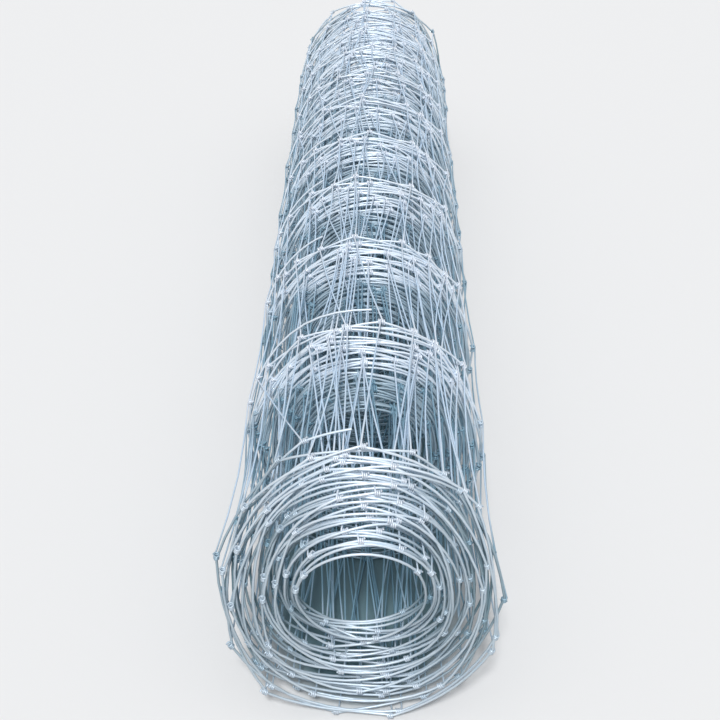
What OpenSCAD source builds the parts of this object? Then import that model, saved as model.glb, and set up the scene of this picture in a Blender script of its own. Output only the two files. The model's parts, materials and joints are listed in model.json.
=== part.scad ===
// Roll of woven wire field fence, lying on its side with its axis along Y.
// One turned body with its bore. The wound turns show as rings on both ends, each slipped a little
// along the roll, and the line wires show as bands of raised wires round the outside.
// The origin is on the ground under the middle of the roll. All sizes are in millimetres.

/* [Fence] */
// Height of the fence, between its two edge wires
fence_height = 1409.7; // [1000:0.1:1800]
// Number of line wires across the height of the fence
line_wires = 11; // [8:1:13]
// Gap between the two lowest line wires
narrow_gap = 76.2; // [70:0.1:100]
// Number of gaps that grow by a single step before the growth doubles
single_steps = 6; // [3:1:8]

/* [Wire] */
// Diameter of the two edge wires
edge_wire_d = 3.2; // [2.5:0.1:4]
// Diameter of the line wires between the edges
line_wire_d = 3.1; // [2:0.1:3.5]

/* [Winding] */
// Diameter of the bore through the middle of the roll
bore_d = 140; // [100:1:250]
// Number of turns from the bore to the outside
turns = 18; // [8:1:30]
// Radial distance from one turn to the next
turn_pitch = 5; // [4.5:0.1:8]
// Furthest that a turn has slipped along the roll
slip = 60; // [0:1:80]
// Number of times that the slip swings out and back between the bore and the outside
slip_swings = 1; // [0.5:0.1:3]

/* [Bands] */
// Outermost turns of each line wire that show side by side in its band
band_turns = 4; // [1:1:6]

/* [Hidden] */
$fn = 64;

bore_r = bore_d / 2;
outer_r = bore_r + turns * turn_pitch;
// The roll rests on the raised wires of its bands
rest_height = outer_r + line_wire_d / 2;

last_line = line_wires - 1;
half_height = fence_height / 2;
// Number of steps by which gap number i, counted from the narrow edge, is wider than the narrow gap
function gap_steps(i) = i + max(0, i - single_steps);
// Number of such steps in the first k gaps
function steps_below(k) = k <= 0 ? 0 : steps_below(k - 1) + gap_steps(k - 1);
// The step with which the gaps add up to the height of the fence
gap_step = (fence_height - last_line * narrow_gap) / steps_below(last_line);
// Distance of line wire number k from the narrow edge
function line_place(k) = k * narrow_gap + gap_step * steps_below(k);

// The innermost and outermost turns have slipped one way, and the turns between them the other way
function turn_slip(i) = slip * cos(360 * slip_swings * i / turns);
function turn_r(i) = bore_r + i * turn_pitch;
last_turn = turns - 1;
outside_slip = turn_slip(last_turn);

// Outline of the wound turns in one end, stepping from the bore to the outside
function end_steps(end) = [
    for (i = [0 : last_turn], side = [0, 1])
        [turn_r(i + side), end * half_height + turn_slip(i)]
];
function reversed(points) = [for (i = [len(points) - 1 : -1 : 0]) points[i]];

// The body of the roll, as a section from the bore to the outside
module wound_section() {
    polygon(concat(end_steps(-1), reversed(end_steps(1))));
}

// The edge wire of every turn, standing half out of one end
module edge_wire_section(end) {
    for (i = [0 : last_turn])
        translate([turn_r(i + 0.5), end * half_height + turn_slip(i)])
            circle(d = edge_wire_d);
}

// One band: the outermost turns of a line wire, apart by their slip, standing half out of the outside.
// A wire that would lie past the end of the last turn is left off.
module band_section(k) {
    reach = half_height - line_wire_d / 2;
    for (i = [turns - band_turns : last_turn]) {
        place = half_height - line_place(k) + turn_slip(i);
        if (abs(place - outside_slip) < reach)
            translate([outer_r, place])
                circle(d = line_wire_d);
    }
}

module fence_roll() {
    color("lightsteelblue")
        translate([0, 0, rest_height])
            rotate([-90, 0, 0])
                rotate_extrude() {
                    wound_section();
                    edge_wire_section(-1);
                    edge_wire_section(1);
                    for (k = [0 : last_line])
                        band_section(k);
                }
}

fence_roll();
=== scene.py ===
# %% [markdown]
# # A roll of woven wire field fence
# The real thing is a long fence of zinc-coated wire, wound up for sale. Line wires run its whole length,
# short stay wires cross them, and each crossing is a wrapped knot that can hinge. From a distance a grey
# tube with a mesh pattern could stand for it, but the roll is open: light falls through the outer turns
# onto the inner ones. So this lesson winds every wire where it really runs.

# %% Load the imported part
import json
import math
import random

import bmesh
import bpy
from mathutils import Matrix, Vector, noise


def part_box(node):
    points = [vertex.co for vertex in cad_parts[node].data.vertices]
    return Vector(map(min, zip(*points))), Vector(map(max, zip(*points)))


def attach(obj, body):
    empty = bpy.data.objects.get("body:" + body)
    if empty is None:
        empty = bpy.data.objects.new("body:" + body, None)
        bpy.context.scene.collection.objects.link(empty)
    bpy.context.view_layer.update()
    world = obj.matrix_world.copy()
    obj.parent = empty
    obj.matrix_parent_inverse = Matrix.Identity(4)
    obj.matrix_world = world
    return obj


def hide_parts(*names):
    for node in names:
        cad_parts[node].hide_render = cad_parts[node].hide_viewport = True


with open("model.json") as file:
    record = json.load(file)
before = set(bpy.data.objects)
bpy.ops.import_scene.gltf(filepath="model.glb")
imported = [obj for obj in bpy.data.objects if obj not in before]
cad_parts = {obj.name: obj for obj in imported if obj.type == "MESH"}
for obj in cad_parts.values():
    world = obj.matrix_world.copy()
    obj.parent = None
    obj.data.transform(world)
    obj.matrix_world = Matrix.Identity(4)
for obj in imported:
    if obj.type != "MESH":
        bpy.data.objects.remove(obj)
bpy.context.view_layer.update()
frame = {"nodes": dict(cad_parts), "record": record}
print("packed nodes:", sorted(frame["nodes"]))

# %% [markdown]
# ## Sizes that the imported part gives
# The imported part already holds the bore, the height of the fence and the outside of the roll. Typing them
# again would invite a slip, so they are read from the frame, in metres.

# %% Read the sizes of the roll
MM_PER_METRE = 1000
bore_mount = next(mount for mount in frame["record"]["mounts"] if mount["name"] == "bore")
bore_radius = bore_mount["dims"]["r_mm"] / MM_PER_METRE
fence_height = bore_mount["dims"]["length_mm"] / MM_PER_METRE
roll_low, roll_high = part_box("fence_roll")
roll_radius = (roll_high.x - roll_low.x) / 2
axis_height = (roll_high.z + roll_low.z) / 2
roll_middle = (roll_high.y + roll_low.y) / 2
print(f"bore {2 * bore_radius:.3f} m, outside {2 * roll_radius:.3f} m, fence height {fence_height:.4f} m")

# %% [markdown]
# ## The flat fence
# Before it is rolled, the fence is a simple grid. The gaps between the line wires grow from one edge to the
# other, so that small animals can't slip through near the ground. A loop over the gaps gives the place of
# each line wire, counted from the edge with the wide gaps, which lies nearest to the camera.

# %% Places of the line wires
NARROW_GAP = 0.0762
GAP_STEP = 0.0127
SINGLE_STEPS = 6
GAP_COUNT = 10
LAST_LINE = GAP_COUNT
gaps = [NARROW_GAP + GAP_STEP * (i + max(0, i - SINGLE_STEPS)) for i in range(GAP_COUNT)]
gaps.reverse()
line_places = [sum(gaps[:line]) for line in range(GAP_COUNT + 1)]


def is_edge(line):
    """Whether a line wire is one of the two edges of the fence."""
    return line in (0, LAST_LINE)


print(f"{len(line_places)} line wires over {line_places[-1]:.4f} m of {fence_height:.4f} m")

# %% Thickness of the wires
EDGE_RADIUS = 0.0016
LINE_RADIUS = 0.00155
STAY_RADIUS = 0.0011


def line_radius(line):
    """Radius of a line wire. The two edge wires are thicker."""
    return EDGE_RADIUS if is_edge(line) else LINE_RADIUS


def in_mm(length):
    """A length as text, in millimetres."""
    return f"{MM_PER_METRE * length:.1f} mm"


print("edge, line and stay wires:", *[in_mm(2 * size) for size in (EDGE_RADIUS, LINE_RADIUS, STAY_RADIUS)])

# %% [markdown]
# ## Winding it up
# A wound fence is a spiral. Spinning a section round the axis would give rings, and an even spiral would
# look like a machine drawing. On a real roll the outer turns have slid back at the top and forward at the
# bottom, the knots make each turn ride unevenly on the one below, and every second or third turn stands
# out of the end. So the spiral gets a lean that grows with the turn, and slow noise on top. Everything
# after this asks one function where a point of the flat fence ends up on the roll.

# %% The even spiral
TURNS = 36
END_ANGLE = math.radians(117)
BORE_ROOM = 0.0035
KNOT_ROOM = 0.0040
inner_radius = bore_radius + BORE_ROOM
outer_radius = roll_radius - KNOT_ROOM


def wound_angle(turn):
    """Angle about the axis. The fence runs clockwise and ends on the upper left."""
    return END_ANGLE + 2 * math.pi * (TURNS - turn)


def upper_share(turn):
    """From 0 at the sides and below to 1 at the top of the roll."""
    return max(0.0, math.sin(wound_angle(turn)))


def plain_radius(turn):
    """Radius of the even spiral."""
    return inner_radius + (outer_radius - inner_radius) * turn / TURNS


print(f"{TURNS} turns from {inner_radius:.4f} m to {outer_radius:.4f} m")

# %% The lean of the turns
INNER_LEAN = -0.004
TOP_LEAN = 0.083
BOTTOM_LEAN = 0.060
TOP_GROWTH = 0.85
BOTTOM_GROWTH = 1.25
FLAT_LEAN = 0.5


def lean(turn, angle):
    """How far a turn leans back along the roll at its top and forward at its bottom."""
    height = math.sin(angle)
    outermost, growth = (TOP_LEAN, TOP_GROWTH) if height > 0 else (BOTTOM_LEAN, BOTTOM_GROWTH)
    furthest = INNER_LEAN + (outermost - INNER_LEAN) * (turn / TURNS) ** growth
    return furthest * height * (1 + FLAT_LEAN * (1 - height ** 2))


print("the outermost turn leans back by", in_mm(lean(TURNS, math.radians(90))), "at the top")

# %% [markdown]
# ## Uneven turns
# One random number for each turn would make jumps, and a wire has none. Smooth noise read along the turns
# has no jumps, so each kind of unevenness reads a track of its own through the same noise. The two edge
# wires have no more fence beyond them to hold them, so they wander most, and the tight core hardly wanders.

# %% Tracks through the noise
# A track holds its changes a turn, its changes a line wire, and where it starts in the noise
STEP_TRACK = (1.7, 0, 9.2, 3.4)
SHARED_DRIFT_TRACK = (2.3, 0, 5.7, 1.3)
OWN_DRIFT_TRACK = (5.1, 3.7, 0, 8.9)
SHARED_RADIUS_TRACK = (2.9, 0, 1.9, 4.6)
OWN_RADIUS_TRACK = (5.3, 2.9, 0, 6.1)


def unevenness(track, turn, line=0):
    """Smooth value between -1 and 1 on a track of the noise."""
    per_turn, per_line, row, layer = track
    return noise.noise(Vector((per_turn * turn, row + per_line * line, layer)))


print("unevenness of the outermost turn:", round(unevenness(STEP_TRACK, TURNS), 2))

# %% How loose a wire is
EDGE_LOOSENESS = 1.5
LINE_LOOSENESS = 0.4
FIRM_TURNS = 8


def own_looseness(turn, line):
    """Share of its own unevenness that a wire shows at a turn."""
    firmness = min(1.0, turn / FIRM_TURNS)
    return firmness * (EDGE_LOOSENESS if is_edge(line) else LINE_LOOSENESS)


def shared_looseness(line):
    """Share that a wire shows of the unevenness of the whole fence."""
    return 1.0 if is_edge(line) else LINE_LOOSENESS


print("looseness of an edge and of a line wire:", own_looseness(TURNS, 0), own_looseness(TURNS, 1))

# %% Movement along the roll and away from its axis
STEP_TURNS = 2.6
STEP_UNEVENNESS = 0.4
EDGE_STEP = 0.013
LINE_STEP = 0.003
TOP_CALM = 0.65
DRIFT = 0.004
OWN_DRIFT = 0.004
WANDER = 0.005
OWN_WANDER = 0.006


def set_back(turn):
    """How far a turn is set back from the near end, from -1 to 1. Every second or third turn stands out."""
    return math.cos(2 * math.pi * (turn / STEP_TURNS + STEP_UNEVENNESS * unevenness(STEP_TRACK, turn)))


def drift(turn, line):
    """Movement of the fence along the roll: its turns step in and out, and each wire wanders by itself."""
    step = EDGE_STEP if is_edge(line) else LINE_STEP
    step *= 1 - TOP_CALM * upper_share(turn)
    shared = DRIFT * shared_looseness(line) * unevenness(SHARED_DRIFT_TRACK, turn)
    own = OWN_DRIFT * own_looseness(turn, line) * unevenness(OWN_DRIFT_TRACK, turn, line)
    return step * set_back(turn) + shared + own


def uneven_radius(turn, line, lift):
    """Radius of the spiral with the unevenness of the wind. The roll keeps its bore and its outside."""
    shared = WANDER * shared_looseness(line) * unevenness(SHARED_RADIUS_TRACK, turn)
    own = OWN_WANDER * own_looseness(turn, line) * unevenness(OWN_RADIUS_TRACK, turn, line)
    radius = plain_radius(min(turn, TURNS)) + (shared + own) + lift
    return min(max(radius, inner_radius), outer_radius)


print("the edge of the outermost turn drifts by", in_mm(drift(TURNS, 0)))

# %% [markdown]
# ## A point of the fence on the roll
# The roll sags a little under its own weight, its last stretch has slid back, and its loose near edge bulges
# on its lower sides. Sculpting that on the finished wires would pull the knots off them, so it goes into the
# one function that places every point.

# %% Place a point
SETTLE = 0.004
SQUASH = 0.02
END_SKEW = 0.022
END_SKEW_TURNS = 0.4
SKEW_FADE = 1.5
SKEW_GROWTH = 2
# Size of each bulge of the near edge, by its angle in degrees
BULGES = {184: 0.010, 318: 0.005}
BULGE_GROWTH = 3
FLOOR_ROOM = 0.0057
near_edge = roll_middle - fence_height / 2
centre_height = axis_height - SETTLE


def end_skew(turn, line):
    """The last stretch of the outermost turn has slid back, most of all at the near edge."""
    share = max(0.0, (turn - TURNS + END_SKEW_TURNS) / END_SKEW_TURNS)
    nearness = 1 - line_places[line] / fence_height
    return END_SKEW * nearness ** SKEW_FADE * min(share, 1.0) ** SKEW_GROWTH


def bulge(turn, line):
    """The loose near edge bulges out on its lower sides, most of all in the outer turns."""
    if line > 0:
        return 0.0
    angle = wound_angle(turn)
    bulges = [size * max(0.0, math.cos(angle - math.radians(side))) ** 2 for side, size in BULGES.items()]
    return sum(bulges) * (turn / TURNS) ** BULGE_GROWTH


def on_roll(turn, line, across=0.0, lift=0.0, out=0.0):
    """Place on the roll of a point `across` beyond a line wire, lifted within the roll or `out` of it."""
    angle = wound_angle(turn)
    radius = uneven_radius(turn, line, lift) + bulge(turn, line) + out
    squash = SQUASH * turn / TURNS
    sideways = radius * math.cos(angle) * (1 + squash)
    slip = lean(turn, angle) + drift(turn, line) + end_skew(turn, line)
    along_y = near_edge + line_places[line] + across + slip
    height = centre_height + radius * math.sin(angle) * (1 - squash)
    return Vector((sideways, along_y, max(height, FLOOR_ROOM)))


print("the fence ends at", [round(value, 3) for value in on_roll(TURNS, 0)])

# %% [markdown]
# ## How deep a wire lies
# Little light reaches the inner turns and the wires near the floor, and that is most of what makes the roll
# look deep. That shade is painted into the colour of the wires. The shader could work it out from
# coordinates, but here the turn of every point is known, so each point gets a painted shade value from 0 in
# the open to 1 in the dark, and carries it as an attribute. On the sides the turns hide each other sooner,
# and where the gaps are narrow the bands hide what lies below.

# %% Painted shade at the ends
LOW_SHADE = 0.18
SIDE_SHADE = 0.22


def side_share(turn):
    """From 0 at the top and bottom of the roll to 1 at its sides."""
    return math.cos(wound_angle(turn)) ** 2


def painted_end_shade(turn, line):
    """Painted shade at the ends. The ends are open, so only a little falls on the lower half and the sides,
    and more on the sides of the turns that are set back.
    """
    facing = 1 if line == 0 else -1
    behind = 0.5 + 0.5 * set_back(turn) * facing
    base = LOW_SHADE * (1 - upper_share(turn)) + SIDE_SHADE * side_share(turn)
    return base + (1 - base) * behind * side_share(turn)


print("shelter at the end of the fence:", round(painted_end_shade(TURNS, 0), 2))

# %% Painted shade of a point
OPEN_TURN = 14
DARK_TURN = 9
SIDE_TURNS = 22
NARROW_TURNS = 9
PASSED_ON = 0.35
LIT_DEPTH = 0.22
OPEN_HEIGHT = 0.11
DARK_HEIGHT = 0.05


def share_between(value, start, stop):
    """Share of the way from start to stop, kept between 0 and 1."""
    return min(max((value - start) / (stop - start), 0.0), 1.0)


def painted_shade(place, turn, line):
    """Painted shade of a point by its turn and height. Light comes in from the ends, and wires pass some on.
    """
    if is_edge(line):
        return painted_end_shade(turn, line)
    from_end = fence_height / 2 - abs(place.y - roll_middle)
    light = share_between(from_end, LIT_DEPTH, 0.0) * upper_share(turn)
    narrowness = share_between(place.y, near_edge, near_edge + fence_height)
    more_turns = SIDE_TURNS * side_share(turn) ** 2 + NARROW_TURNS * narrowness
    inside = share_between(turn, OPEN_TURN + more_turns, DARK_TURN + more_turns) * (1 - light)
    inside *= 1 - PASSED_ON * narrowness
    # Painted shade on the wires near the floor
    underneath = share_between(place.z, OPEN_HEIGHT, DARK_HEIGHT)
    return max(inside, underneath)


print("shelter of the innermost turn:", round(painted_shade(on_roll(1, 1), 1, 1), 2))

# %% [markdown]
# ## Where the knots lie
# Stays sit at even steps along the fence. The loop walks back from the free end, one step of fence at a
# time. Each knot also gets a small shift along its line wire, because hinged stays never stay in line, and
# small shifts across the fence and out of its turn. The last stay has nothing to hold it but its near knot,
# so it has swung back.

# %% Turns at which the stays cross
STAY_SPACING = 0.1524
START_TURN = 0.75
START_ROOM = 0.1


def turns_over(length, radius):
    """Number of turns that a length of fence takes at a radius."""
    return length / (2 * math.pi * radius)


stay_turns = []
stay_turn = float(TURNS)
while stay_turn > START_TURN + START_ROOM:
    stay_turns.insert(0, stay_turn)
    stay_turn -= turns_over(STAY_SPACING, plain_radius(stay_turn))
print(f"{len(stay_turns)} stays, {len(stay_turns) * len(line_places)} knots")

# %% Shifts of the knots
SEED = 7
TILT = math.radians(9)
TILT_KEPT = 0.5
PULL = 0.003
LIFT = 0.003
LAST_SWING = 0.104
chance = random.Random(SEED)


def knot_row(stay_turn):
    """The turns of the knots along one stay, which tilts in every gap and then half straightens."""
    shift = 0.0
    row = [stay_turn]
    for gap in gaps:
        shift = TILT_KEPT * shift + gap * math.tan(chance.uniform(-TILT, TILT))
        row.append(stay_turn + turns_over(shift, plain_radius(stay_turn)))
    return row


def knot_shifts(stay_turn, furthest):
    """A chance shift for each knot along one stay, larger at the loose edges."""
    lines = range(len(line_places))
    return [chance.uniform(-furthest, furthest) * own_looseness(stay_turn, line) for line in lines]


knot_turns = [knot_row(stay) for stay in stay_turns]
for line in range(1, len(line_places)):
    knot_turns[-1][line] -= turns_over(LAST_SWING, outer_radius)
knot_pulls = [knot_shifts(stay, PULL) for stay in stay_turns]
knot_lifts = [knot_shifts(stay, LIFT) for stay in stay_turns]
print("first row of knots at turns", [round(turn, 2) for turn in knot_turns[0]])

# %% [markdown]
# ## From centre lines to wires
# A wire is a centre line with a round section. Curve objects could do it, but one mesh of loose chains can
# hold hundreds of wires at once. A small Geometry Nodes group turns the chains into curves and sweeps a
# circle along them, and the result is kept as a plain mesh.

# %% The wire-drawing node group


def make_wire_drawing():
    """Geometry Nodes group that sweeps a circle along every chain of edges."""
    group = bpy.data.node_groups.new("wire_drawing", "GeometryNodeTree")
    sockets = group.interface
    sockets.new_socket("Chains", in_out="INPUT", socket_type="NodeSocketGeometry")
    sockets.new_socket("Radius", in_out="INPUT", socket_type="NodeSocketFloat")
    sockets.new_socket("Sides", in_out="INPUT", socket_type="NodeSocketInt")
    sockets.new_socket("Wires", in_out="OUTPUT", socket_type="NodeSocketGeometry")
    source = group.nodes.new("NodeGroupInput")
    result = group.nodes.new("NodeGroupOutput")
    to_curve = group.nodes.new("GeometryNodeMeshToCurve")
    circle = group.nodes.new("GeometryNodeCurvePrimitiveCircle")
    sweep = group.nodes.new("GeometryNodeCurveToMesh")
    smooth = group.nodes.new("GeometryNodeSetShadeSmooth")
    sweep.inputs["Fill Caps"].default_value = True
    group.links.new(source.outputs["Chains"], to_curve.inputs["Mesh"])
    group.links.new(source.outputs["Radius"], circle.inputs["Radius"])
    group.links.new(source.outputs["Sides"], circle.inputs["Resolution"])
    group.links.new(to_curve.outputs["Curve"], sweep.inputs["Curve"])
    group.links.new(circle.outputs["Curve"], sweep.inputs["Profile Curve"])
    group.links.new(sweep.outputs["Mesh"], smooth.inputs["Geometry"])
    group.links.new(smooth.outputs["Geometry"], result.inputs["Wires"])
    return group


wire_drawing = make_wire_drawing()
print("node group:", wire_drawing.name, len(wire_drawing.nodes), "nodes")

# %% [markdown]
# ## Chains of points
# Each point of a chain brings its place, its painted shade and whether it lies in a wrap. The two values
# become attributes of the mesh, the node group carries them over to the swept wire, and the material reads
# them.

# %% Draw chains of points as wires
scene = bpy.context.scene


def chain_mesh(name, chains):
    """Mesh of loose edges along the chains, with the attributes of their points."""
    bm = bmesh.new()
    # Painted shade of each point, and a mask of the wraps for their painted highlight
    shade_layer = bm.verts.layers.float.new("painted_shade")
    wrapped_layer = bm.verts.layers.float.new("wrapped")
    for chain in chains:
        verts = []
        for place, shade_share, wrapped in chain:
            vert = bm.verts.new(place)
            vert[shade_layer] = shade_share
            vert[wrapped_layer] = wrapped
            verts.append(vert)
        for first, second in zip(verts, verts[1:]):
            bm.edges.new((first, second))
    mesh = bpy.data.meshes.new(name)
    bm.to_mesh(mesh)
    bm.free()
    return mesh


def draw_wires(name, chains, radius, sides):
    """One mesh object with a round wire along each chain of points."""
    mesh = chain_mesh(name + "_chains", chains)
    piece = bpy.data.objects.new(name, mesh)
    scene.collection.objects.link(piece)
    drawing = piece.modifiers.new("wire_drawing", "NODES")
    drawing.node_group = wire_drawing
    settings = {"Radius": radius, "Sides": sides}
    for item in wire_drawing.interface.items_tree:
        if item.name in settings:
            drawing[item.identifier] = settings[item.name]
    evaluated = piece.evaluated_get(bpy.context.evaluated_depsgraph_get())
    drawn = bpy.data.meshes.new_from_object(evaluated)
    drawn.name = name
    piece.modifiers.clear()
    piece.data = drawn
    bpy.data.meshes.remove(mesh)
    return piece


print("wires are drawn with", wire_drawing.name)

# %% [markdown]
# ## Line wires
# Each line wire passes through its knots. Between two knots a stiff wire neither follows the circle nor runs
# straight: the outer turns are nearly straight with a kink at each knot, the tight inner turns are round.
# Mixing the arc with its chord gives that, with a share that grows towards the outside.

# %% One span between two knots
STEP_ANGLE = math.radians(9)
INNER_STRAIGHT = 0.10
OUTER_STRAIGHT = 0.45
SPAN_BOW = 0.006


def straightness(turn):
    """Share of the chord in the wire between two knots."""
    return INNER_STRAIGHT + (OUTER_STRAIGHT - INNER_STRAIGHT) * (turn / TURNS) ** 2


def span_points(line, first, second):
    """Points of a line wire from one knot up to the next one, which is left out."""
    first_turn = first[0]
    second_turn = second[0]
    steps = max(2, math.ceil((second_turn - first_turn) * 2 * math.pi / STEP_ANGLE))
    start = on_roll(first_turn, line, *first[1:])
    stop = on_roll(second_turn, line, *second[1:])
    share = straightness(first_turn)
    side_bow = chance.uniform(-SPAN_BOW, SPAN_BOW) * own_looseness(first_turn, line)
    points = []
    for step in range(steps):
        part = step / steps
        turn, pull, lift = (before + (after - before) * part for before, after in zip(first, second))
        pull += side_bow * math.sin(math.pi * part)
        arc = on_roll(turn, line, pull, lift)
        place = arc.lerp(start.lerp(stop, part), share)
        # Each point carries the painted shade of its place
        points.append((place, painted_shade(place, turn, line), 0.0))
    return points


print("straightness of the inner and outer turns:", straightness(0), straightness(TURNS))

# %% The free tail past the last stay
TAIL_POINTS = 9
TAIL_LIFT = 0.001
TAIL_SPRING = 1.6


def tail_points(line, last_knot, length):
    """The cut end of a line wire. It springs a little off the roll, into the open."""
    last_turn, pull, lift = last_knot
    turns_long = turns_over(length, outer_radius)
    points = []
    for step in range(TAIL_POINTS):
        part = step / (TAIL_POINTS - 1)
        turn = last_turn + turns_long * part
        place = on_roll(turn, line, pull, lift, TAIL_LIFT * part ** TAIL_SPRING)
        points.append((place, 0.0, 0.0))
    return points


print("tails spring off the roll by", in_mm(TAIL_LIFT))

# %% Wind the line wires
LINE_SIDES = 7
TAIL_LENGTHS = (0.060, 0.130)
# Lengths of the two tails that show best, by line wire
SEEN_TAILS = {0: 0.060, 1: 0.180}
line_wires = []
for line in range(len(line_places)):
    rows = zip(knot_turns, knot_pulls, knot_lifts)
    knots = [(START_TURN, 0.0, 0.0)]
    knots += [(turns[line], pulls[line], lifts[line]) for turns, pulls, lifts in rows]
    chain = []
    for first, second in zip(knots, knots[1:]):
        chain += span_points(line, first, second)
    tail = SEEN_TAILS.get(line, chance.uniform(*TAIL_LENGTHS))
    chain += tail_points(line, knots[-1], tail)
    wire = draw_wires(f"line_wire_{line + 1:02d}", [chain], line_radius(line), LINE_SIDES)
    line_wires.append(wire)
print(f"{len(line_wires)} line wires, {sum(len(wire.data.polygons) for wire in line_wires)} faces")

# %% [markdown]
# ## Stays and their wraps
# A stay is not one long wire: a short piece spans each gap, and both its ends are wrapped round the line
# wires. Two pieces meet side by side on every inner line wire, and that pair is the hinge. An edge wire has
# only one piece, which is wrapped round it more times. A lump could stand for the knot, but a real helix
# costs few points and catches the light as wound wire does.

# %% Directions on the wound sheet


def directions(turn):
    """The three directions of the sheet at a turn: along the wire, across the fence and out of the roll."""
    angle = wound_angle(turn)
    along = Vector((math.sin(angle), 0, -math.cos(angle)))
    across = Vector((0, 1, 0))
    out = Vector((math.cos(angle), 0, math.sin(angle)))
    return along, across, out


print("along, across and out at the end of the fence:", *[tuple(axis) for axis in directions(TURNS)])

# %% One wrapped end
EDGE_WRAPS = 3
HINGE_WRAPS = 1.5
WRAP_STEPS = 7
WRAP_GAP = 0.0001
WRAP_PITCH = 2 * STAY_RADIUS + WRAP_GAP
CUT_FLARE = 0.0012
FLARE_SHARE = 0.2


def wrap_points(stay, line, side):
    """Points of the wrap from its cut tip, which stands off, to where the stay leaves on one side."""
    turn = knot_turns[stay][line]
    centre = on_roll(turn, line, knot_pulls[stay][line], knot_lifts[stay][line])
    along, across, out = directions(turn)
    reach = line_radius(line) + STAY_RADIUS + WRAP_GAP
    # The whole wrap takes one painted shade, and is marked for the painted highlight of the wraps
    shade_share = painted_shade(centre, turn, line)
    wraps = EDGE_WRAPS if is_edge(line) else HINGE_WRAPS
    steps = math.ceil(wraps * WRAP_STEPS)
    points = []
    for step in range(steps + 1):
        part = 1 - step / steps
        angle = 2 * math.pi * wraps * part
        radius = reach + CUT_FLARE * max(0.0, part - (1 - FLARE_SHARE)) / FLARE_SHARE
        round_wire = math.cos(angle) * out - side * math.sin(angle) * across
        shift = side * (WRAP_PITCH / 2 + WRAP_PITCH * wraps * part)
        place = centre + radius * round_wire + shift * along
        place.z = max(place.z, STAY_RADIUS)
        points.append((place, shade_share, 1.0))
    return points


print(EDGE_WRAPS, "wraps on an edge wire,", HINGE_WRAPS, "on each side of a hinge")

# %% One stay between two line wires
STAY_STEPS = 4
STAY_BOW = 0.003
STAY_SAG = 0.010
SAG_RANGE = 3


def stay_points(stay, gap):
    """A whole stay piece: a wrap, a stretch that bows sideways and sags inwards, and the other wrap."""
    near_wrap = wrap_points(stay, gap, 1)
    far_wrap = wrap_points(stay, gap + 1, -1)
    start = near_wrap[-1][0]
    stop = far_wrap[-1][0]
    turn = knot_turns[stay][gap]
    along, _, out = directions(turn)
    sag = STAY_SAG * turn / TURNS * gaps[gap] / gaps[0]
    bow = chance.uniform(-STAY_BOW, STAY_BOW) * along - chance.uniform(sag / SAG_RANGE, sag) * out
    # A stay takes the painted shade of an inner line wire, not that of the open ends
    inner_line = max(gap, 1)
    middle = []
    for step in range(1, STAY_STEPS):
        part = step / STAY_STEPS
        place = start.lerp(stop, part) + math.sin(math.pi * part) * bow
        middle.append((place, painted_shade(place, turn, inner_line), 0.0))
    return near_wrap + middle + far_wrap[::-1]


print("outer stays sag by up to", in_mm(STAY_SAG))

# %% Set the stays
STAY_SIDES = 5
stay_rows = []
for gap in range(GAP_COUNT):
    chains = [stay_points(stay, gap) for stay in range(len(stay_turns))]
    stay_rows.append(draw_wires(f"stay_wires_{gap + 1:02d}", chains, STAY_RADIUS, STAY_SIDES))
print(f"{len(stay_rows)} rows of stays, {sum(len(row.data.polygons) for row in stay_rows)} faces")

# %% [markdown]
# ## Helpers for shader nodes
# A material is wired from the same few kinds of node again and again. In the editor that is done by hand,
# but in a script the wiring soon hides the idea. So each helper here makes one node, feeds it, and gives
# back the socket that carries its result.

# %% Feed, calculate and mix
# The Mix node has sockets of one name for several types, so its colour sockets are found by number
FIRST_COLOUR = 6
SECOND_COLOUR = 7
MIXED_COLOUR = 2


def feed(tree, socket, source):
    """Links a socket to the one that feeds it, or sets it to a plain value."""
    if isinstance(source, bpy.types.NodeSocket):
        tree.links.new(source, socket)
    else:
        socket.default_value = source


def calculated(tree, kind, operation, *sources):
    """Socket with the result of a Math or Vector Math node."""
    node = tree.nodes.new(kind)
    node.operation = operation
    for socket, source in zip(node.inputs, sources):
        feed(tree, socket, source)
    return node.outputs[0]


def mixed(tree, share, first, second):
    """Socket with a colour that goes from the first to the second as the share grows."""
    node = tree.nodes.new("ShaderNodeMix")
    node.data_type = "RGBA"
    feed(tree, node.inputs["Factor"], share)
    feed(tree, node.inputs[FIRST_COLOUR], first)
    feed(tree, node.inputs[SECOND_COLOUR], second)
    return node.outputs[MIXED_COLOUR]


print("node helpers:", feed.__name__, calculated.__name__, mixed.__name__)

# %% Carry over and read


def mapped(tree, value, start, stop, low, high, blend="LINEAR"):
    """Socket with a value that goes from low to high between start and stop."""
    node = tree.nodes.new("ShaderNodeMapRange")
    node.interpolation_type = blend
    feed(tree, node.inputs["Value"], value)
    for name, number in zip(("From Min", "From Max", "To Min", "To Max"), (start, stop, low, high)):
        node.inputs[name].default_value = number
    return node.outputs["Result"]


def textured(tree, kind, per_metre):
    """A texture node on Object coordinates, with so many features a metre."""
    place = tree.nodes.new("ShaderNodeTexCoord")
    node = tree.nodes.new(kind)
    node.inputs["Scale"].default_value = per_metre
    tree.links.new(place.outputs["Object"], node.inputs["Vector"])
    return node


def carried(tree, name):
    """Socket with a value that the points of the mesh carry as an attribute."""
    node = tree.nodes.new("ShaderNodeAttribute")
    node.attribute_name = name
    return node.outputs["Fac"]


print("node helpers:", mapped.__name__, textured.__name__, carried.__name__)

# %% [markdown]
# ## The zinc coat
# Hot-dip zinc is a dull silver-blue metal, and its tones here are painted bluer still, as a painted
# reflection of blue sky. It freezes in crystals a few millimetres wide, some brighter than others, and dulls
# in patches. The wraps are painted paler, a painted highlight, and the wires deep in the roll and near the
# floor get painted shade, which the attributes of the mesh tell. All wires share the coat, so it is one node
# group that gives colour, roughness and height, and each material keeps its own shader.

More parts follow.
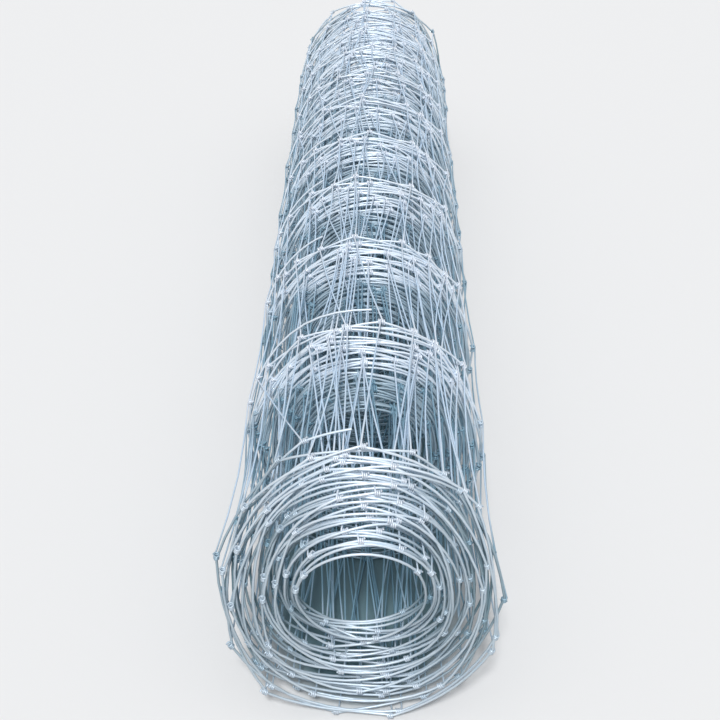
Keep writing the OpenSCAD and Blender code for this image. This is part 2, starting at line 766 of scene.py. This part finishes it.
# %% The shared zinc group
CRYSTALS_PER_METRE = 260
PATCHES_PER_METRE = 14
GRAINS_PER_METRE = 1400
PATCH_DETAIL = 4
PATCH_START = 0.35
PATCH_FULL = 0.7
CRYSTAL_DULLING = 0.45
PATCH_DULLING = 0.55
SMOOTHEST = 0.34
ROUGHEST = 0.56


def make_zinc_coat():
    """Shader group with the crystals, dull patches and grain of a zinc coat, a painted highlight on the
    wraps and painted shade.
    """
    group = bpy.data.node_groups.new("zinc_coat", "ShaderNodeTree")
    for name in ("Bright", "Dull", "Wrap Highlight", "Painted Shade"):
        group.interface.new_socket(name, in_out="INPUT", socket_type="NodeSocketColor")
    group.interface.new_socket("Color", in_out="OUTPUT", socket_type="NodeSocketColor")
    group.interface.new_socket("Roughness", in_out="OUTPUT", socket_type="NodeSocketFloat")
    group.interface.new_socket("Height", in_out="OUTPUT", socket_type="NodeSocketFloat")
    tones = group.nodes.new("NodeGroupInput").outputs
    result = group.nodes.new("NodeGroupOutput").inputs
    crystals = textured(group, "ShaderNodeTexVoronoi", CRYSTALS_PER_METRE)
    patches = textured(group, "ShaderNodeTexNoise", PATCHES_PER_METRE)
    patches.inputs["Detail"].default_value = PATCH_DETAIL
    grain = textured(group, "ShaderNodeTexNoise", GRAINS_PER_METRE)
    crystal_tone = group.nodes.new("ShaderNodeSeparateColor")
    feed(group, crystal_tone.inputs["Color"], crystals.outputs["Color"])
    patch_share = mapped(group, patches.outputs["Fac"], PATCH_START, PATCH_FULL, 0, PATCH_DULLING)
    dulling = calculated(
        group, "ShaderNodeMath", "MULTIPLY_ADD", crystal_tone.outputs["Red"], CRYSTAL_DULLING, patch_share
    )
    coat_tone = mixed(group, dulling, tones["Bright"], tones["Dull"])
    # Painted highlight: the wraps take a paler tone
    highlighted_tone = mixed(group, carried(group, "wrapped"), coat_tone, tones["Wrap Highlight"])
    # Painted shade darkens the wires deep in the roll and near the floor
    shaded_coat_tone = mixed(group, carried(group, "painted_shade"), highlighted_tone, tones["Painted Shade"])
    feed(group, result["Color"], shaded_coat_tone)
    feed(group, result["Roughness"], mapped(group, dulling, 0, 1, SMOOTHEST, ROUGHEST))
    feed(group, result["Height"], grain.outputs["Fac"])
    return group


zinc_coat = make_zinc_coat()
print("node group:", zinc_coat.name, len(zinc_coat.nodes), "nodes")

# %% [markdown]
# ## A material for each kind of wire
# All three are the same zinc in different tones. The thick edge wires are painted brightest, as painted
# light on the open ends; the line wires are painted whiter, as a painted highlight on their tops; and the
# thin stays are painted bluest, as a painted reflection of blue sky. One material with a mask could tell
# them apart, but three materials of the same group are easier to tune.

# %% Three zinc materials
# Tone of the painted highlight on the wraps
WRAP_HIGHLIGHT_TONE = (0.84, 0.90, 0.98)
METAL_SHARE = 0.35
GRAIN_STRENGTH = 0.25
GRAIN_DEPTH = 0.0002


def zinc_material(name, bright, dull, shade_paint):
    """Zinc-coated wire with its own tones for bright and dull stretches, and for its painted shade."""
    material = bpy.data.materials.new(name)
    material.use_nodes = True
    tree = material.node_tree
    shader = tree.nodes["Principled BSDF"]
    shader.inputs["Metallic"].default_value = METAL_SHARE
    coat = tree.nodes.new("ShaderNodeGroup")
    coat.node_tree = zinc_coat
    for tone, colour in {"Bright": bright, "Dull": dull, "Wrap Highlight": WRAP_HIGHLIGHT_TONE, "Painted Shade": shade_paint}.items():
        coat.inputs[tone].default_value = (*colour, 1)
    bump = tree.nodes.new("ShaderNodeBump")
    bump.inputs["Strength"].default_value = GRAIN_STRENGTH
    bump.inputs["Distance"].default_value = GRAIN_DEPTH
    feed(tree, shader.inputs["Base Color"], coat.outputs["Color"])
    feed(tree, shader.inputs["Roughness"], coat.outputs["Roughness"])
    feed(tree, bump.inputs["Height"], coat.outputs["Height"])
    feed(tree, shader.inputs["Normal"], bump.outputs["Normal"])
    return material


# Each material: bright and dull tones, painted bluish as a painted reflection of blue sky, then its painted
# shade tone
edge_zinc = zinc_material(
    "zinc_edge_wire", bright=(0.86, 0.93, 1.00), dull=(0.69, 0.81, 0.92), shade_paint=(0.18, 0.29, 0.34)
)
line_zinc = zinc_material(
    "zinc_line_wire", bright=(0.79, 0.86, 0.93), dull=(0.72, 0.82, 0.92), shade_paint=(0.36, 0.48, 0.56)
)
stay_zinc = zinc_material(
    "zinc_stay_wire", bright=(0.73, 0.87, 1.00), dull=(0.58, 0.75, 0.94), shade_paint=(0.23, 0.41, 0.52)
)
for line, wire in enumerate(line_wires):
    wire.data.materials.append(edge_zinc if is_edge(line) else line_zinc)
for row in stay_rows:
    row.data.materials.append(stay_zinc)
print("materials:", edge_zinc.name, line_zinc.name, stay_zinc.name)

# %% [markdown]
# ## Put the wires on the part
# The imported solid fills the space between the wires. Cutting it open would change how it collides, so it
# stays as it is and is hidden in the picture. Every wire stands for it, rides on the one body and takes the
# finish of its material slot.

# %% Ride and replace
for piece in line_wires + stay_rows:
    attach(piece, "root")
    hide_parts("fence_roll")
print(len(line_wires) + len(stay_rows), "pieces ride on the roll")

# %% [markdown]
# ## A pale room
# The floor and the sky look pale to the camera and in the metal, but they must not throw that much light on
# the wires. More lamps would only clip them to white. So the floor and the sky ask which kind of ray meets
# them, and show their pale tone only to rays that end in the picture.

# %% The rays that show the floor and the sky


def seen_rays(tree):
    """Socket that is 1 for rays that show a surface in the picture, straight or in metal, or else 0."""
    rays = tree.nodes.new("ShaderNodeLightPath")
    shown = rays.outputs["Is Camera Ray"]
    for kind in ("Is Glossy Ray", "Is Transmission Ray"):
        shown = calculated(tree, "ShaderNodeMath", "MAXIMUM", shown, rays.outputs[kind])
    return shown


print("the floor and the sky use", seen_rays.__name__)

# %% [markdown]
# ## The floor
# The open mesh lets the floor show through, and a pale floor there would wash out the depth of the roll. A
# real roll keeps nearly all light off the floor under it, so the floor is painted darker in a patch with
# round sides and square ends that the roll covers: a painted shadow.

# %% The painted shadow under the roll
SHADE_WIDTH = 0.30
SHADE_LENGTH = 1.40
SHADE_FORWARD = 0.07
SIDE_POWER = 2
END_POWER = 10
SHADE_EDGE = 1.0
SHADE_FULL = 0.5


def shade_under_roll(tree):
    """Socket that is 1 under the roll and fades to 0 at the edge of the painted shadow."""
    place = tree.nodes.new("ShaderNodeTexCoord").outputs["Object"]
    offset = calculated(tree, "ShaderNodeVectorMath", "ADD", place, (0, SHADE_FORWARD, 0))
    distance = calculated(tree, "ShaderNodeVectorMath", "ABSOLUTE", offset)
    half_patch = (SHADE_WIDTH / 2, SHADE_LENGTH / 2, 1)
    shares = calculated(tree, "ShaderNodeVectorMath", "DIVIDE", distance, half_patch)
    sides = tree.nodes.new("ShaderNodeSeparateXYZ")
    feed(tree, sides.inputs["Vector"], shares)
    across = calculated(tree, "ShaderNodeMath", "POWER", sides.outputs["X"], SIDE_POWER)
    along = calculated(tree, "ShaderNodeMath", "POWER", sides.outputs["Y"], END_POWER)
    from_middle = calculated(tree, "ShaderNodeMath", "ADD", across, along)
    return mapped(tree, from_middle, SHADE_EDGE, SHADE_FULL, 0, 1, "SMOOTHSTEP")


print("shaded patch:", SHADE_WIDTH, "by", SHADE_LENGTH, "m")

# %% Lay the floor
FLOOR_HALF = 12
FLOOR_ROUGHNESS = 0.9
FLOOR_BOUNCE = (0.12, 0.12, 0.12, 1)
SEEN_FLOOR = (0.80, 0.80, 0.80, 1)
# Tone of the painted shadow under the roll
SHADED_FLOOR = (0.14, 0.23, 0.26, 1)
bm = bmesh.new()
bmesh.ops.create_grid(bm, x_segments=1, y_segments=1, size=FLOOR_HALF)
floor_mesh = bpy.data.meshes.new("floor")
bm.to_mesh(floor_mesh)
bm.free()
floor_paint = bpy.data.materials.new("pale_floor")
floor_paint.use_nodes = True
floor_tree = floor_paint.node_tree
floor_shader = floor_tree.nodes["Principled BSDF"]
floor_shader.inputs["Roughness"].default_value = FLOOR_ROUGHNESS
open_tone = mixed(floor_tree, seen_rays(floor_tree), FLOOR_BOUNCE, SEEN_FLOOR)
# Painted shadow: the floor is darker under the roll
floor_tone = mixed(floor_tree, shade_under_roll(floor_tree), open_tone, SHADED_FLOOR)
feed(floor_tree, floor_shader.inputs["Base Color"], floor_tone)
floor_mesh.materials.append(floor_paint)
floor = bpy.data.objects.new("floor", floor_mesh)
scene.collection.objects.link(floor)
print("floor:", 2 * FLOOR_HALF, "m wide")

# %% [markdown]
# ## The light
# A soft sun high behind the camera gives the wires their white upper sides. The sky is brightest overhead
# and dim at the horizon, so that the sides of the roll stay darker than its top, and the camera sees it
# evenly pale. Area lamps would need a place each, and would light the near end more than the far one.

# %% The sky
HORIZON_LIGHT = 0.10
OVERHEAD_LIGHT = 0.62
SEEN_SKY = 0.72
SKY_TINT = (0.95, 0.97, 1.0, 1)
scene.view_settings.view_transform = "Standard"
world = bpy.data.worlds.new("studio")
scene.world = world
world.use_nodes = True
sky_tree = world.node_tree
sky = sky_tree.nodes["Background"]
sky.inputs["Color"].default_value = SKY_TINT
sky_place = sky_tree.nodes.new("ShaderNodeTexCoord")
sky_height = sky_tree.nodes.new("ShaderNodeSeparateXYZ")
feed(sky_tree, sky_height.inputs["Vector"], sky_place.outputs["Generated"])
sky_light = mapped(sky_tree, sky_height.outputs["Z"], 0, 1, HORIZON_LIGHT, OVERHEAD_LIGHT)
sky_strength = sky_tree.nodes.new("ShaderNodeMix")
feed(sky_tree, sky_strength.inputs["Factor"], seen_rays(sky_tree))
feed(sky_tree, sky_strength.inputs["A"], sky_light)
feed(sky_tree, sky_strength.inputs["B"], SEEN_SKY)
feed(sky_tree, sky.inputs["Strength"], sky_strength.outputs["Result"])
print("sky light from", HORIZON_LIGHT, "at the horizon to", OVERHEAD_LIGHT, "overhead")

# %% The sun
SUN_DIRECTION = (0.06, 0.42, -0.90)
SUN_SOFTNESS = math.radians(12)
SUN_STRENGTH = 2.25
sun_data = bpy.data.lights.new("key_lamp", "SUN")
sun_data.angle = SUN_SOFTNESS
sun_data.energy = SUN_STRENGTH
sun = bpy.data.objects.new("key_lamp", sun_data)
sun.rotation_euler = Vector(SUN_DIRECTION).to_track_quat("-Z", "Y").to_euler()
scene.collection.objects.link(sun)
print("sun:", sun.name, "of strength", SUN_STRENGTH)

# %% [markdown]
# ## The camera
# The camera stands close to the near end and looks down along the roll, so the far end looks much smaller.
# A longer lens from further away would frame the roll as well, but would flatten that perspective.

# %% Place the camera
CAMERA_BACK = 0.683
CAMERA_RIGHT = 0.0104
CAMERA_UP = 0.910
LENS = 48.4
SENSOR_WIDTH = 36
PITCH = math.radians(39.7)
YAW = math.radians(-1.11)
camera_data = bpy.data.cameras.new("camera")
camera_data.lens = LENS
camera_data.sensor_width = SENSOR_WIDTH
camera = bpy.data.objects.new("camera", camera_data)
camera.location = (CAMERA_RIGHT, near_edge - CAMERA_BACK, centre_height + CAMERA_UP)
camera.rotation_euler = (math.pi / 2 - PITCH, 0, -YAW)
scene.collection.objects.link(camera)
scene.camera = camera
print("camera at", [round(value, 3) for value in camera.location])
